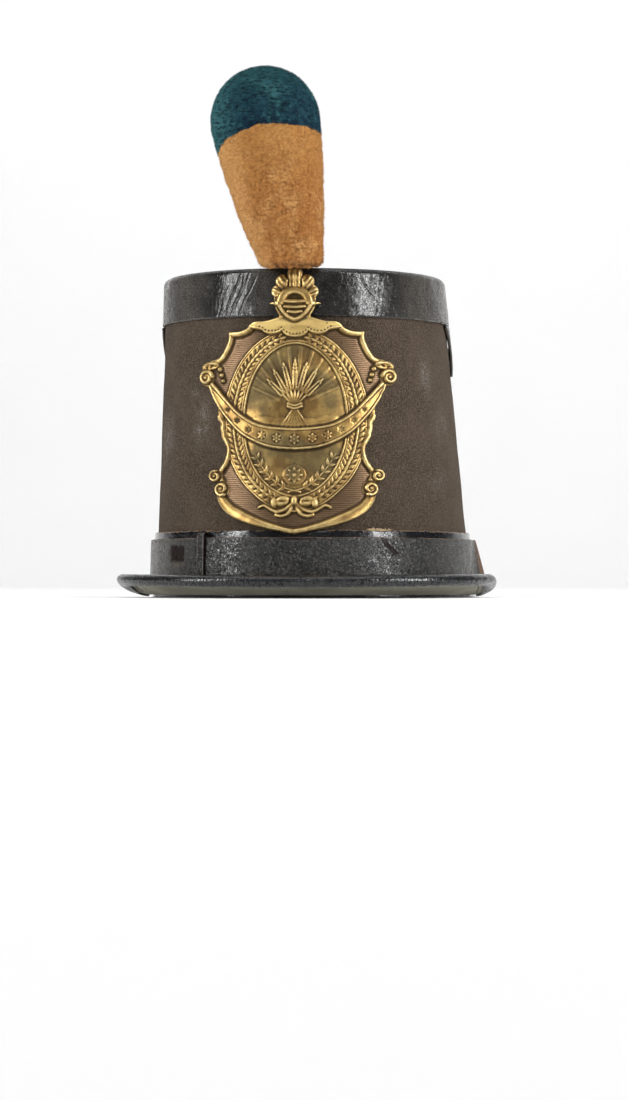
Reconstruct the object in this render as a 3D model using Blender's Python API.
"""A shako: a tall felt crown with leather bands, a leather visor, a stamped brass
front plate and a two-colour wool plume.

Units are metres. +Z is up, the wearer's face looks along -Y, and the foot of the
lower band stands on z = 0. The crown is an oval tube; every piece that hugs it is
worked out from the same oval wall, a little further out or in.
"""

import math

import bmesh
import bpy
import numpy as np

# ---------------------------------------------------------------- driving sizes
# crown: an oval tube that narrows upwards, its top plane a little lower in front
BASE_HALF_WIDTH = 0.0840
TOP_HALF_WIDTH = 0.0727
BASE_HALF_DEPTH = 0.1020
TOP_HALF_DEPTH = 0.0872
CROWN_HEIGHT = 0.1680
TOP_TILT = 0.0030            # the top is this much lower in front and higher behind
TOP_FORWARD = 0.0055         # the old crown has settled forwards and to one side
TOP_SIDEWAYS = -0.0049
FELT = 0.0022
GAP = 0.0003                 # between pieces that touch
AROUND = 60                  # facets round the oval

# leather bands
TOP_BAND_DEPTH = 0.0245
TOP_BAND_LEATHER = 0.0013
TOP_BAND_LIP = 0.0095        # how far it is turned in over the top
LOWER_BAND_HEIGHT = 0.0340
LOWER_BAND_LEATHER = 0.0016
SWEATBAND_HEIGHT = 0.0380
SWEATBAND_LEATHER = 0.0012
TOP_LEATHER = 0.0020

# chevrons on the sides
CHEVRON_LEFT_ANGLE = math.radians(9)         # both sit a little behind the widest place
CHEVRON_RIGHT_ANGLE = math.radians(167)
CHEVRON_DROP = 0.0260
CHEVRON_HALF_ANGLE = math.radians(20)
CHEVRON_LEG = 0.0105
CHEVRON_LEATHER = 0.0016

# strap round the lower band and its keeper
STRAP_FOOT = 0.0104
STRAP_WIDTH = 0.0200
STRAP_LEATHER = 0.0016
STRAP_START = math.radians(2)
STRAP_END = math.radians(-356.5)
STRAP_STATIONS = 84
STRAP_FLARE = 0.0042         # how far the free end stands out at its foot
STRAP_FLARE_ANGLE = math.radians(9)
KEEPER_ANGLE = math.radians(-124.8)
KEEPER_WIDTH = 0.0058
KEEPER_LEATHER = 0.0011
KEEPER_BULGE_ANGLE = math.radians(9)

# visor: its edge is part of an oval of its own
VISOR_HALF_WIDTH = 0.0972
VISOR_HALF_DEPTH = 0.0920
VISOR_CENTRE_FORWARD = 0.0580
VISOR_TIP = 0.0190           # the tips end this far in front of the crown's middle
VISOR_LEATHER = 0.0024
VISOR_RISE = 0.0056          # the edge's underside stands this high in front
VISOR_CAMBER = 0.0008
VISOR_FOOT = 0.0014          # its inner edge stands this high
VISOR_ACROSS = (0, 0.33, 0.67, 1)
VISOR_STATIONS = 42
BINDING_HALF_HEIGHT = 0.0029
BINDING_LIP = 0.0040
BINDING_LEATHER = 0.0007
TIP_SCALE = 0.45             # the binding's size at the tips

# plume
STEM_RADIUS = 0.0016
STEM_FOOT = 0.1460
STEM_IN_PLUME = 0.0200
PLUME_FOOT = 0.1662
PLUME_LEAN = math.radians(10.3)
PLUME_FOOT_TILT = math.radians(9)    # its foot is lower in front, where it hangs past the band
PLUME_SPLIT = 0.0608         # the colours meet this far up the plume
PLUME_SIDES = 20
TUFT_RELIEF = 0.0005

# front plate, measured from the crown's front line and the floor
PLATE_BACK = 0.0008          # the sheet lies this far off the felt
PLATE_SHEET = 0.0010
PLATE_SCALE = 0.913          # the plate's width against its drawing
PLATE_SIDEWAYS = -0.0029     # its middle line sits a little to the wearer's right
PLATE_DRAWN = (0.0300, 0.0312, 0.0500, 0.0730, 0.1330, 0.1640, 0.1700)    # levels on the drawing
PLATE_LEVEL = (0.0303, 0.0315, 0.0521, 0.0735, 0.1325, 0.1614, 0.1670)    # and on the hat
PLATE_CENTRE = 0.0880        # height of the middle of the oval field
OVAL_IN = (0.0281, 0.0401)
OVAL_OUT = (0.0375, 0.0456)
PLATE_RAYS = 64
RELIEF_STEP = 0.00003        # each raised piece a hair further out than the one before
CREST_STEP_LOW = 0.1305      # the sheet steps out over the top band between these
CREST_STEP_HIGH = 0.1395
FOOT_STEP_LOW = 0.0352       # and over the lower band's edge between these
FOOT_STEP_HIGH = 0.0460

# the model's box is centred on x = y = 0
FRONT_REACH = VISOR_CENTRE_FORWARD + VISOR_HALF_DEPTH
BACK_REACH = BASE_HALF_DEPTH + GAP + LOWER_BAND_LEATHER + GAP + STRAP_LEATHER
CROWN_Y = (FRONT_REACH - BACK_REACH) / 2
FRONT = math.radians(-90)


# ---------------------------------------------------------------- scene helpers
def clear_scene():
    for old in list(bpy.data.objects):
        bpy.data.objects.remove(old, do_unlink=True)


def new_collection(name):
    collection = bpy.data.collections.new(name)
    bpy.context.scene.collection.children.link(collection)
    return collection


def material(name, colour, roughness, metallic=0.0):
    mat = bpy.data.materials.new(name)
    mat.use_nodes = True
    shader = mat.node_tree.nodes["Principled BSDF"]
    shader.inputs["Base Color"].default_value = (*colour, 1.0)
    shader.inputs["Roughness"].default_value = roughness
    shader.inputs["Metallic"].default_value = metallic
    mat.diffuse_color = (*colour, 1.0)
    return mat


def make_object(name, points, faces, mat, collection, sharp=40):
    """An object from an array of points and a list of faces, shaded smooth."""
    mesh = bpy.data.meshes.new(name)
    mesh.from_pydata([tuple(p) for p in np.asarray(points, float)], [], faces)
    mesh.validate()
    bm = bmesh.new()
    bm.from_mesh(mesh)
    bmesh.ops.recalc_face_normals(bm, faces=bm.faces)
    bm.to_mesh(mesh)
    bm.free()
    mesh.materials.append(mat)
    mesh.shade_smooth()
    mesh.set_sharp_from_angle(angle=math.radians(sharp))
    obj = bpy.data.objects.new(name, mesh)
    collection.objects.link(obj)
    return obj


def grid_faces(rows, columns, wrap_rows=False, wrap_columns=False):
    """Quads between neighbouring points of a grid stored row by row."""
    faces = []
    for i in range(rows if wrap_rows else rows - 1):
        for j in range(columns if wrap_columns else columns - 1):
            a = i * columns + j
            b = i * columns + (j + 1) % columns
            c = (i + 1) % rows * columns + (j + 1) % columns
            d = (i + 1) % rows * columns + j
            faces.append((a, b, c, d))
    return faces


def smooth_step(x, low, high):
    t = np.clip((np.asarray(x, float) - low) / (high - low), 0, 1)
    return t * t * (3 - 2 * t)


# ---------------------------------------------------------------- the oval wall
def wall_height(angle):
    """Height of the crown's top edge at an angle round the oval."""
    return CROWN_HEIGHT + TOP_TILT * np.sin(angle)


def wall_point(angle, height, offset):
    """A point at a height above the foot, offset outwards from the felt's face."""
    share = height / wall_height(angle)
    half_width = BASE_HALF_WIDTH + (TOP_HALF_WIDTH - BASE_HALF_WIDTH) * share + offset
    half_depth = BASE_HALF_DEPTH + (TOP_HALF_DEPTH - BASE_HALF_DEPTH) * share + offset
    x = TOP_SIDEWAYS * share + half_width * np.cos(angle)
    y = CROWN_Y - TOP_FORWARD * share + half_depth * np.sin(angle)
    return np.stack([x, y, height + 0 * angle], axis=-1)


def ring_piece(name, profile, mat, collection, sharp=40):
    """A closed ring round the oval. A profile row holds the height above the foot,
    whether it is counted down from the top edge instead, and the offset."""
    angle = np.linspace(0, 2 * math.pi, AROUND, endpoint=False)
    rows = []
    for height, from_top, offset in profile:
        level = wall_height(angle) - height if from_top else height + 0 * angle
        rows.append(wall_point(angle, level, offset))
    faces = grid_faces(len(rows), AROUND, wrap_rows=True, wrap_columns=True)
    return make_object(name, np.concatenate(rows), faces, mat, collection, sharp)


def strip_piece(name, sections, mat, collection, sharp=40):
    """A closed bar through a list of sections with the same number of points."""
    sections = np.asarray(sections, float)
    stations, count, _ = sections.shape
    faces = grid_faces(stations, count, wrap_columns=True)
    faces.append(tuple(range(count)))
    last = (stations - 1) * count
    faces.append(tuple(last + k for k in range(count)))
    return make_object(name, sections.reshape(-1, 3), faces, mat, collection, sharp)


# ---------------------------------------------------------------- crown and bands
def build_crown(parts, felt, leather):
    foot = 0.0008
    top = TOP_BAND_LEATHER + GAP
    ring_piece("crown_body", [
        (foot, False, 0.0),
        (0.055, False, 0.0),
        (0.110, False, 0.0),
        (top, True, 0.0),
        (top, True, -FELT),
        (0.110, False, -FELT),
        (0.055, False, -FELT),
        (foot, False, -FELT),
    ], felt, parts)
    build_top_disc(parts, leather)


def build_top_disc(parts, leather):
    """The disc lies inside the felt's top edge, just under the band's lip."""
    angle = np.linspace(0, 2 * math.pi, AROUND, endpoint=False)
    down = TOP_BAND_LEATHER + GAP
    rim = wall_point(angle, wall_height(angle) - down, -FELT - GAP)
    centre = rim.mean(axis=0)
    sag = np.array([0, 0, -0.0012])
    thick = np.array([0, 0, -TOP_LEATHER])
    middle = centre + (rim - centre) * 0.5 + sag * 0.75
    rows = [middle, rim, rim + thick]
    points = np.concatenate(rows + [[centre + sag], [centre + sag + thick]])
    faces = grid_faces(3, AROUND, wrap_columns=True)
    top_pole = 3 * AROUND
    for j in range(AROUND):
        k = (j + 1) % AROUND
        faces.append((top_pole, j, k))
        faces.append((top_pole + 1, 2 * AROUND + k, 2 * AROUND + j))
    make_object("crown_top", points, faces, leather, parts)


def build_bands(parts, leather, patent, lining):
    outer = GAP + TOP_BAND_LEATHER
    ring_piece("top_band", [
        (TOP_BAND_DEPTH, True, outer),
        (0.0036, True, outer),
        (0.0011, True, outer - 0.0008),
        (0.0000, True, outer - 0.0034),
        (0.0000, True, -TOP_BAND_LIP),
        (TOP_BAND_LEATHER, True, -TOP_BAND_LIP),
        (TOP_BAND_LEATHER, True, GAP),
        (TOP_BAND_DEPTH, True, GAP),
    ], leather, parts)
    outer = GAP + LOWER_BAND_LEATHER
    ring_piece("lower_band", [
        (0.0, False, outer),
        (LOWER_BAND_HEIGHT - 0.0006, False, outer),
        (LOWER_BAND_HEIGHT, False, outer - 0.0005),
        (LOWER_BAND_HEIGHT, False, GAP),
        (0.0, False, GAP),
    ], patent, parts)
    inner = -FELT - GAP
    ring_piece("sweatband", [
        (0.0004, False, inner),
        (SWEATBAND_HEIGHT, False, inner),
        (SWEATBAND_HEIGHT, False, inner - SWEATBAND_LEATHER),
        (0.0004, False, inner - SWEATBAND_LEATHER),
    ], lining, parts)


def build_chevron(name, side_angle, parts, leather):
    """A V of leather on the side of the crown, its legs butted to the top band."""
    stations = 13
    sections = []
    for i in range(stations):
        t = 2 * i / (stations - 1) - 1
        angle = side_angle + CHEVRON_HALF_ANGLE * t
        bottom = TOP_BAND_DEPTH + GAP + CHEVRON_DROP * (1 - abs(t))
        top = max(TOP_BAND_DEPTH + GAP, bottom - CHEVRON_LEG)
        if abs(t) == 1:
            bottom = top + 0.0012
        outline = [(bottom, GAP), (top, GAP), (top, GAP + CHEVRON_LEATHER), (bottom, GAP + CHEVRON_LEATHER)]
        here = np.array(angle)
        sections.append([wall_point(here, wall_height(here) - down, off) for down, off in outline])
    strip_piece(name, sections, leather, parts)


# ---------------------------------------------------------------- strap and keeper
def strap_offset(angle):
    """Inner face of the strap off the felt: it bulges where the keeper passes behind."""
    near = smooth_step(abs(angle - KEEPER_ANGLE), KEEPER_BULGE_ANGLE, 0.35 * KEEPER_BULGE_ANGLE)
    return GAP + LOWER_BAND_LEATHER + GAP + near * (KEEPER_LEATHER + GAP)


def strap_section(angle, foot, top, thickness, inner):
    """Four corners of the strap's section; inner holds the offsets at foot and top."""
    here = np.array(angle)
    return [
        wall_point(here, foot, inner[0]),
        wall_point(here, top, inner[1]),
        wall_point(here, top, inner[1] + thickness),
        wall_point(here, foot, inner[0] + thickness),
    ]


def build_strap(parts, leather):
    top = STRAP_FOOT + STRAP_WIDTH
    sections = []
    for i in range(STRAP_STATIONS):
        angle = STRAP_START + (STRAP_END - STRAP_START) * i / (STRAP_STATIONS - 1)
        free = 1 - float(smooth_step(STRAP_START - angle, 0, STRAP_FLARE_ANGLE))
        inner = float(strap_offset(angle))
        offsets = (inner + STRAP_FLARE * free, inner + 0.25 * STRAP_FLARE * free)
        sections.append(strap_section(angle, STRAP_FOOT, top, STRAP_LEATHER, offsets))
    strip_piece("chin_strap", sections, leather, parts)


def build_keeper(parts, leather):
    """A loop round the strap: the same outline and hole at its two edges."""
    back = GAP + LOWER_BAND_LEATHER + GAP
    front = back + KEEPER_LEATHER + GAP + STRAP_LEATHER + GAP
    low = STRAP_FOOT - GAP
    high = STRAP_FOOT + STRAP_WIDTH + GAP
    wall = KEEPER_LEATHER
    outline = [
        (low - wall, back), (high + wall, back),
        (high + wall, front + 0.4 * wall), (high + 0.4 * wall, front + wall),
        (low - 0.4 * wall, front + wall), (low - wall, front + 0.4 * wall),
    ]
    hole = [(low, back + wall), (high, back + wall), (high, front), (high, front), (low, front), (low, front)]
    half_angle = KEEPER_WIDTH / 2 / BASE_HALF_DEPTH
    points = []
    for angle in (KEEPER_ANGLE - half_angle, KEEPER_ANGLE + half_angle):
        here = np.array(angle)
        for loop in (outline, hole):
            points += [wall_point(here, height, offset) for height, offset in loop]
    count = len(outline)
    faces = []
    for j in range(count):
        k = (j + 1) % count
        faces.append((j, k, 2 * count + k, 2 * count + j))
        faces.append((count + k, count + j, 3 * count + j, 3 * count + k))
        faces.append((j, count + j, count + k, k))
        faces.append((2 * count + k, 3 * count + k, 3 * count + j, 2 * count + j))
    keeper = make_object("strap_keeper", points, faces, leather, parts)
    weld(keeper)


def weld(obj, distance=0.00001):
    """Merge points that share a place, drop faces that this closes up."""
    bm = bmesh.new()
    bm.from_mesh(obj.data)
    bmesh.ops.remove_doubles(bm, verts=bm.verts, dist=distance)
    bmesh.ops.dissolve_degenerate(bm, edges=bm.edges, dist=distance)
    bmesh.ops.recalc_face_normals(bm, faces=bm.faces)
    bm.to_mesh(obj.data)
    bm.free()


# ---------------------------------------------------------------- visor
def visor_edge(turn, inset=0.0):
    """Plan of the visor's edge at an angle of its own oval."""
    x = (VISOR_HALF_WIDTH - inset) * np.cos(turn)
    y = CROWN_Y - VISOR_CENTRE_FORWARD + (VISOR_HALF_DEPTH - inset) * np.sin(turn)
    return x, y


def visor_stations():
    """Arrays along the visor from tip to tip: angle on its own oval, scale of the
    binding, the visor's thickness, its inner edge, its outer edge inside the binding,
    the outer edge's rise and slope, and the camber between the edges."""
    share = np.linspace(0, 1, VISOR_STATIONS)
    tip_turn = math.asin((VISOR_CENTRE_FORWARD - VISOR_TIP) / VISOR_HALF_DEPTH)
    tip_angle = -math.asin(VISOR_TIP / (BASE_HALF_DEPTH + GAP + LOWER_BAND_LEATHER))
    turn = tip_turn + (-math.pi - 2 * tip_turn) * share
    angle = tip_angle + (-math.pi - 2 * tip_angle) * share
    from_tip = np.minimum(share, 1 - share)
    scale = TIP_SCALE + (1 - TIP_SCALE) * smooth_step(from_tip, 0, 0.09)
    thick = VISOR_LEATHER * (0.5 + 0.5 * scale)
    droop = 0.2 * (1 - smooth_step(from_tip, 0.1, 0.5))
    rise = VISOR_RISE * smooth_step(from_tip, -0.01, 0.15) * (1 + droop)
    inner = wall_point(angle, VISOR_FOOT + 0 * angle, GAP + LOWER_BAND_LEATHER + GAP)
    outer = np.stack(visor_edge(turn, (BINDING_HALF_HEIGHT + GAP) * scale), axis=-1)
    width = np.hypot(outer[:, 0] - inner[:, 0], outer[:, 1] - inner[:, 1])
    camber = VISOR_CAMBER * smooth_step(from_tip, 0.03, 0.3)
    slope = (rise - camber * 4 * VISOR_ACROSS[-2]) / width
    return turn, scale, thick, inner, outer, rise, slope, camber


def build_visor(parts, leather):
    """A crescent between the lower band and the binding, a little cambered."""
    _, _, thick, inner, outer, rise, _, camber = visor_stations()
    sections = []
    for i in range(VISOR_STATIONS):
        under, over = [], []
        for s in VISOR_ACROSS:
            x, y = inner[i, :2] + (outer[i] - inner[i, :2]) * s
            z = VISOR_FOOT + rise[i] * s + camber[i] * 4 * s * (1 - s)
            under.append((x, y, z))
            over.append((x, y, z + thick[i]))
        sections.append(under + over[::-1])
    strip_piece("visor", sections, leather, parts, sharp=50)


def build_binding(parts, leather):
    """A rolled edge, open inwards like a C, that takes the visor's edge."""
    turn, scale, thick, _, _, rise, slope, _ = visor_stations()
    sections = []
    for i in range(VISOR_STATIONS):
        grown = (scale[i] - TIP_SCALE) / (1 - TIP_SCALE)
        lip = BINDING_LIP * (0.2 + 0.8 * grown)
        slot = thick[i] / 2 + GAP
        bead = BINDING_HALF_HEIGHT * scale[i]
        tall = max(bead, slot + BINDING_LEATHER)
        edge = slot + BINDING_LEATHER * (0.6 + 0.4 * grown)
        outline = [
            (-lip, slot), (-lip, edge), (-0.3 * bead, tall), (0.45 * bead, 0.86 * tall),
            (0.95 * bead, 0.42 * tall), (0.95 * bead, -0.42 * tall), (0.45 * bead, -0.86 * tall),
            (-0.3 * bead, -tall), (-lip, -edge), (-lip, -slot), (0.0, -slot), (0.0, slot),
        ]
        section = []
        for out, up in outline:
            x, y = visor_edge(turn[i], bead - out)
            level = VISOR_FOOT + rise[i] + thick[i] / 2 + slope[i] * min(out, 0.0)
            section.append((x, y, max(level + up, GAP)))
        sections.append(section)
    strip_piece("visor_binding", sections, leather, parts)


# ---------------------------------------------------------------- plume
# outline of the plume: distance along its axis and radius
PLUME_LOWER = [
    (0.0000, 0.0145), (0.0012, 0.0157), (0.0085, 0.0172), (0.0156, 0.0189), (0.0227, 0.0203),
    (0.0298, 0.0214), (0.0369, 0.0226), (0.0439, 0.0236), (0.0500, 0.0245), (0.0556, 0.0253),
    (PLUME_SPLIT, 0.0259),
]
PLUME_DOME_CENTRE = 0.0724
PLUME_DOME_RADIUS = 0.0267


def plume_level(along):
    """Where the plume's axis is at a distance along it, and how far a cut across it
    is turned: level at the foot, square to the axis from a third of the way up."""
    foot = wall_point(np.array(FRONT), PLUME_FOOT, GAP + TOP_BAND_LEATHER + GAP + STEM_RADIUS)
    foot[2] = PLUME_FOOT
    axis = np.array([-math.sin(PLUME_LEAN), 0, math.cos(PLUME_LEAN)])
    tilt = PLUME_LEAN * float(smooth_step(along, 0, 0.03))
    return foot + axis * along, tilt


def plume_ring(along, radius, row, relief):
    """One level of the plume; every other point stands out, so rows of tufts form."""
    centre, tilt = plume_level(along)
    turn = np.linspace(0, 2 * math.pi, PLUME_SIDES, endpoint=False)
    bump = relief * np.where((np.arange(PLUME_SIDES) + row) % 2 == 0, 1.0, -1.0)
    r = radius + bump
    x = centre[0] + r * np.cos(turn) * math.cos(tilt)
    y = centre[1] + r * np.sin(turn)
    dip = r * np.sin(turn) * math.sin(PLUME_FOOT_TILT) * (1 - float(smooth_step(along, 0, 0.03)))
    z = centre[2] + r * np.cos(turn) * math.sin(tilt) + dip
    return np.stack([x, y, z], axis=-1)


def plume_piece(name, rings, start, end, wool, parts):
    """A closed form through rings, with a single point at each end."""
    faces = grid_faces(len(rings), PLUME_SIDES, wrap_columns=True)
    points = np.concatenate(rings + [[start], [end]])
    pole = len(rings) * PLUME_SIDES
    last = (len(rings) - 1) * PLUME_SIDES
    for j in range(PLUME_SIDES):
        k = (j + 1) % PLUME_SIDES
        faces.append((pole, k, j))
        faces.append((pole + 1, last + j, last + k))
    return make_object(name, points, faces, wool, parts, sharp=60)


def build_plume(parts, orange, teal, wire):
    bore = STEM_RADIUS + GAP
    rings = [plume_ring(STEM_IN_PLUME + GAP, bore, 0, 0.0), plume_ring(0.0, bore, 0, 0.0)]
    for row, (along, radius) in enumerate(PLUME_LOWER):
        inner_rows = 1 < row < len(PLUME_LOWER) - 1
        rings.append(plume_ring(along, radius, row, TUFT_RELIEF if inner_rows else 0.0))
    bore_end, _ = plume_level(STEM_IN_PLUME + GAP)
    split, _ = plume_level(PLUME_SPLIT)
    plume_piece("plume_lower", rings, bore_end, split, orange, parts)

    rings = [plume_ring(PLUME_SPLIT + GAP, PLUME_LOWER[-1][1], 0, 0.0)]
    rows = 8
    start = math.asin((PLUME_SPLIT + 0.006 - PLUME_DOME_CENTRE) / PLUME_DOME_RADIUS)
    for row in range(rows):
        climb = start + (math.pi / 2 - start) * row / rows
        along = PLUME_DOME_CENTRE + PLUME_DOME_RADIUS * math.sin(climb)
        radius = PLUME_DOME_RADIUS * math.cos(climb)
        rings.append(plume_ring(along, radius, row, TUFT_RELIEF if row < rows - 1 else 0.0))
    base, _ = plume_level(PLUME_SPLIT + GAP)
    crown, _ = plume_level(PLUME_DOME_CENTRE + PLUME_DOME_RADIUS)
    plume_piece("plume_tip", rings, base, crown, teal, parts)
    build_stem(parts, wire)


def build_stem(parts, wire):
    """A wire that stands behind the plate's crest and runs up into the plume."""
    foot, _ = plume_level(0.0)
    low = wall_point(np.array(FRONT), STEM_FOOT, GAP + TOP_BAND_LEATHER + GAP + STEM_RADIUS)
    tip, _ = plume_level(STEM_IN_PLUME)
    curve = bpy.data.curves.new("plume_stem", "CURVE")
    curve.dimensions = "3D"
    curve.bevel_depth = STEM_RADIUS
    curve.bevel_resolution = 1
    curve.use_fill_caps = True
    spline = curve.splines.new("POLY")
    spline.points.add(2)
    for point, place in zip(spline.points, (low, foot, tip)):
        point.co = (*place, 1.0)
    curve.materials.append(wire)
    obj = bpy.data.objects.new("plume_stem", curve)
    parts.objects.link(obj)


# ---------------------------------------------------------------- front plate
# outline of the plate's body, right half, from the crest's foot to the lowest point:
# distance from the middle line and height
PLATE_OUTLINE = [
    (0.0080, 0.1405), (0.0130, 0.1390), (0.0214, 0.1383), (0.0262, 0.1350), (0.0352, 0.1336),
    (0.0380, 0.1255), (0.0420, 0.1202), (0.0480, 0.1192), (0.0528, 0.1140), (0.0522, 0.1085),
    (0.0470, 0.1050), (0.0430, 0.0990), (0.0414, 0.0930), (0.0400, 0.0830), (0.0369, 0.0743),
    (0.0385, 0.0680), (0.0435, 0.0630), (0.0465, 0.0600), (0.0450, 0.0570), (0.0425, 0.0560),
    (0.0436, 0.0530), (0.0432, 0.0500), (0.0410, 0.0450), (0.0355, 0.0400), (0.0250, 0.0358),
    (0.0100, 0.0322), (0.0000, 0.0312),
]
RIM_WIDTH = 0.0030
WREATH_RISE = 0.0017
LEAF_RISE = 0.0004
# ribbon: distance from the middle line, and heights of its upper and lower edges
RIBBON = [
    (0.0000, 0.0842, 0.0729), (0.0117, 0.0850, 0.0740), (0.0207, 0.0872, 0.0770), (0.0294, 0.0925, 0.0822),
    (0.0370, 0.1002, 0.0900), (0.0425, 0.1065, 0.0975), (0.0452, 0.1100, 0.1045),
]
# round scrolls: distance from the middle line, height and radius
SCROLLS = [(0.0488, 0.1114, 0.0042), (0.0432, 0.0597, 0.0034), (0.0395, 0.0530, 0.0038)]


def plate_lift(height):
    """How far the plate's back stands off the felt: more where it passes over the
    top band and the plume's stem, and over the lower band's edge."""
    over_top = GAP + TOP_BAND_LEATHER + GAP + 2 * STEM_RADIUS + GAP - PLATE_BACK
    over_foot = GAP + LOWER_BAND_LEATHER + GAP - PLATE_BACK
    crest = over_top * smooth_step(height, CREST_STEP_LOW, CREST_STEP_HIGH)
    foot = over_foot * (1 - smooth_step(height, FOOT_STEP_LOW, FOOT_STEP_HIGH))
    return PLATE_BACK + crest + foot


def on_plate(points):
    """Bend flat points (across, height, outwards) onto the crown's front."""
    points = np.asarray(points, float)
    across = points[:, 0] * PLATE_SCALE + PLATE_SIDEWAYS
    height = np.interp(points[:, 1], PLATE_DRAWN, PLATE_LEVEL)
    out = points[:, 2]
    share = height / (CROWN_HEIGHT - TOP_TILT)
    offset = plate_lift(height) + out
    half_width = BASE_HALF_WIDTH + (TOP_HALF_WIDTH - BASE_HALF_WIDTH) * share
    half_depth = BASE_HALF_DEPTH + (TOP_HALF_DEPTH - BASE_HALF_DEPTH) * share
    sine = np.clip((across - TOP_SIDEWAYS * share) / half_width, -0.98, 0.98)
    cosine = np.sqrt(1 - sine ** 2)
    normal_x = sine / half_width
    normal_y = -cosine / half_depth
    size = np.sqrt(normal_x ** 2 + normal_y ** 2)
    x = across + offset * normal_x / size
    y = CROWN_Y - TOP_FORWARD * share - half_depth * cosine + offset * normal_y / size
    return np.stack([x, y, height], axis=-1)


def outline_distance(ray):
    """Distance from the oval's middle to the plate's outline along each ray."""
    right = np.array(PLATE_OUTLINE)
    left = right[::-1][1:] * (-1, 1)
    loop = np.concatenate([right, left])
    turn = np.unwrap(np.arctan2(loop[:, 1] - PLATE_CENTRE, loop[:, 0]))
    reach = np.hypot(loop[:, 0], loop[:, 1] - PLATE_CENTRE)
    order = np.argsort(turn)
    return np.interp(ray, turn[order], reach[order], period=2 * math.pi)


def oval_distance(ray, oval):
    return 1 / np.sqrt((np.cos(ray) / oval[0]) ** 2 + (np.sin(ray) / oval[1]) ** 2)


def plate_body():
    """The sheet with its domed oval field, raised wreath band and rolled rim, as rings
    of points on rays from the oval's middle."""
    ray = np.linspace(0, 2 * math.pi, PLATE_RAYS, endpoint=False)
    edge = outline_distance(ray)
    oval_in = oval_distance(ray, OVAL_IN)
    oval_out = oval_distance(ray, OVAL_OUT)
    oval_mid = (oval_in + oval_out) / 2
    rim_in = np.maximum(edge - RIM_WIDTH, oval_out + 0.0004)
    leaf = np.where(np.arange(PLATE_RAYS) % 2 == 0, LEAF_RISE, -LEAF_RISE)
    ground = PLATE_SHEET
    front = [
        (oval_in * 0.45, ground + 0.0010), (oval_in * 0.85, ground + 0.0006), (oval_in, ground + 0.0003),
        (oval_mid - 0.0012, ground + WREATH_RISE + leaf), (oval_mid + 0.0016, ground + WREATH_RISE - leaf),
        (oval_out, ground), (rim_in, ground + 0.0001), ((rim_in + edge) / 2, ground + 0.0017),
        (edge, ground + 0.0006),
    ]
    back = [
        (edge, 0.0), (rim_in, 0.0), (oval_out, 0.0), (oval_mid, 0.0),
        (oval_in * 0.8, 0.0), (oval_in * 0.42, 0.0),
    ]
    points = []
    for reach, out in front + back:
        flat = [reach * np.cos(ray), PLATE_CENTRE + reach * np.sin(ray), out + 0 * ray]
        points.append(np.stack(flat, axis=-1))
    points.append([(0, PLATE_CENTRE, ground + 0.0011)])
    points.append([(0, PLATE_CENTRE, 0.0)])
    faces = grid_faces(len(front + back), PLATE_RAYS, wrap_columns=True)
    pole = len(front + back) * PLATE_RAYS
    last = pole - PLATE_RAYS
    for j in range(PLATE_RAYS):
        k = (j + 1) % PLATE_RAYS
        faces.append((pole, j, k))
        faces.append((pole + 1, last + k, last + j))
    return np.concatenate(points), faces


def ribbon_bar():
    """The ribbon across the plate: a raised strip between its two edge curves."""
    table = np.array(RIBBON)
    left = table[::-1][:-1] * (-1, 1, 1)
    table = np.concatenate([left, table])
    sections = []
    for across, upper, lower in table:
        fall = 0.0004 * abs(across) / 0.045
        low, high = 0.0004, PLATE_SHEET + 0.0022 - fall
        bevel = 0.12 * (upper - lower)
        sections.append([
            (across, lower, low), (across, upper, low),
            (across, upper, high - 0.0006), (across, upper - bevel, high),
            (across, lower + bevel, high), (across, lower, high - 0.0006),
        ])
    sections = np.array(sections)
    count = sections.shape[1]
    faces = grid_faces(len(table), count, wrap_columns=True)
    faces.append(tuple(range(count)))
    faces.append(tuple((len(table) - 1) * count + k for k in range(count)))
    return sections.reshape(-1, 3), faces


def boss(across, height, half_width, half_height, rise, sides=10, turn=0.0):
    """A raised round or oval boss: a low dome with an upright wall below it."""
    angle = np.linspace(0, 2 * math.pi, sides, endpoint=False)
    rows = []
    for reach, out in ((1.0, 0.0004), (1.0, PLATE_SHEET + 0.3 * rise), (0.7, PLATE_SHEET + 0.8 * rise)):
        u = reach * half_width * np.cos(angle)
        w = reach * half_height * np.sin(angle)
        x = across + u * math.cos(turn) - w * math.sin(turn)
        z = height + u * math.sin(turn) + w * math.cos(turn)
        rows.append(np.stack([x, z, np.full(sides, out)], axis=-1))
    points = np.concatenate(rows + [[(across, height, PLATE_SHEET + rise)], [(across, height, 0.0004)]])
    faces = grid_faces(3, sides, wrap_columns=True)
    for j in range(sides):
        k = (j + 1) % sides
        faces.append((3 * sides, 2 * sides + j, 2 * sides + k))
        faces.append((3 * sides + 1, k, j))
    return points, faces


def mirrored(shapes):
    """Each flat shape, and its mirror image across the middle line."""
    both = []
    for points, faces in shapes:
        both.append((points, faces))
        both.append((np.asarray(points) * (-1, 1, 1), faces))
    return both


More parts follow.
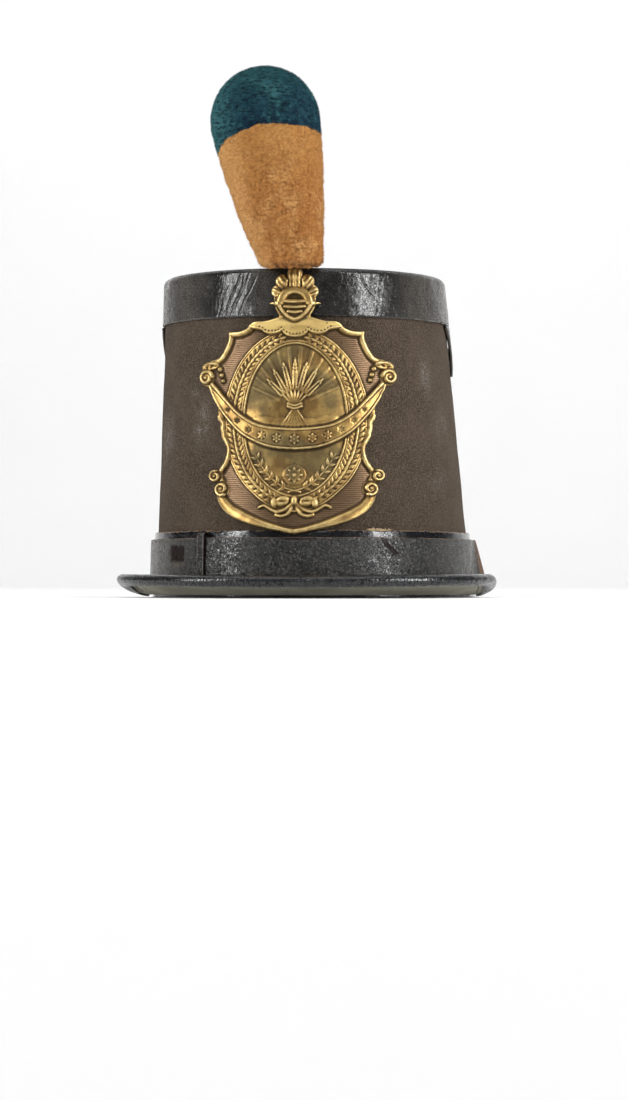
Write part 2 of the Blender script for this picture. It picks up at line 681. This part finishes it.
def crest_shapes():
    """A closed helmet with a fan of feathers, over the plate's top edge."""
    shapes = [
        boss(0, 0.1535, 0.0100, 0.0098, 0.0030, sides=12),
        boss(0, 0.1452, 0.0112, 0.0070, 0.0020, sides=12),
        boss(0, 0.1375, 0.0072, 0.0046, 0.0016, sides=8),
        boss(0, 0.1617, 0.0030, 0.0044, 0.0026, sides=8),
    ]
    feathers = [(0.0052, 0.1605, -18), (0.0089, 0.1564, -52)]
    for across, height, lean in feathers:
        shapes += mirrored([boss(across, height, 0.0028, 0.0048, 0.0022, 7, math.radians(lean))])
    shapes += mirrored([boss(0.0098, 0.1475, 0.0027, 0.0026, 0.0024, 8)])
    return shapes


def motif_shapes():
    """In the oval field: a sheaf of ears over a low mound."""
    shapes = [boss(0, 0.0985, 0.0030, 0.0175, 0.0020, sides=6)]
    for across, lean in ((0.0060, -14), (0.0120, -30)):
        height = 0.0985 - 0.3 * across
        shapes += mirrored([boss(across, height, 0.0026, 0.0150, 0.0018, 6, math.radians(lean))])
    shapes.append(boss(0, 0.0580, 0.0150, 0.0052, 0.0014, sides=12))
    return shapes


def bow_shapes():
    """A bow tied at the foot of the wreath."""
    shapes = [boss(0, 0.0470, 0.0026, 0.0026, 0.0026, sides=8)]
    shapes += mirrored([
        boss(0.0068, 0.0474, 0.0048, 0.0024, 0.0021, 8, math.radians(12)),
        boss(0.0118, 0.0436, 0.0058, 0.0013, 0.0017, 8, math.radians(-14)),
    ])
    return shapes


def build_plate(parts, cutters, brass):
    """The sheet and all that stands up from it, joined into one solid."""
    points, faces = plate_body()
    plate = make_object("front_plate", on_plate(points), faces, brass, parts)
    shapes = [ribbon_bar()] + crest_shapes() + motif_shapes() + bow_shapes()
    shapes += mirrored([boss(x, z, r, r, 0.0026, sides=10) for x, z, r in SCROLLS])
    for number, (points, faces) in enumerate(shapes):
        raised = np.asarray(points) + (0, 0, RELIEF_STEP * (number + 1))
        tool = make_object(f"relief_{number}", on_plate(raised), faces, brass, cutters)
        tool.hide_render = True
        tool.display_type = "WIRE"
    join = plate.modifiers.new("relief", "BOOLEAN")
    join.operation = "UNION"
    join.operand_type = "COLLECTION"
    join.collection = cutters
    join.solver = "EXACT"


# ---------------------------------------------------------------- the hat
def main():
    clear_scene()
    parts = new_collection("shako")
    cutters = new_collection("relief_tools")
    felt = material("felt", (0.075, 0.058, 0.048), 0.95)
    leather = material("black_leather", (0.020, 0.023, 0.022), 0.42)
    patent = material("patent_leather", (0.018, 0.022, 0.022), 0.25)
    visor_leather = material("visor_leather", (0.022, 0.025, 0.024), 0.38)
    lining = material("sweatband_leather", (0.36, 0.28, 0.20), 0.75)
    brass = material("brass", (0.72, 0.50, 0.22), 0.35, 1.0)
    orange = material("orange_wool", (0.62, 0.32, 0.13), 0.95)
    teal = material("teal_wool", (0.010, 0.085, 0.110), 0.95)
    wire = material("rusty_wire", (0.25, 0.09, 0.05), 0.7, 0.4)

    build_crown(parts, felt, leather)
    build_bands(parts, leather, patent, lining)
    build_chevron("side_chevron_left", CHEVRON_LEFT_ANGLE, parts, leather)
    build_chevron("side_chevron_right", CHEVRON_RIGHT_ANGLE, parts, leather)
    build_strap(parts, leather)
    build_keeper(parts, leather)
    build_visor(parts, visor_leather)
    build_binding(parts, leather)
    build_plate(parts, cutters, brass)
    build_plume(parts, orange, teal, wire)


main()
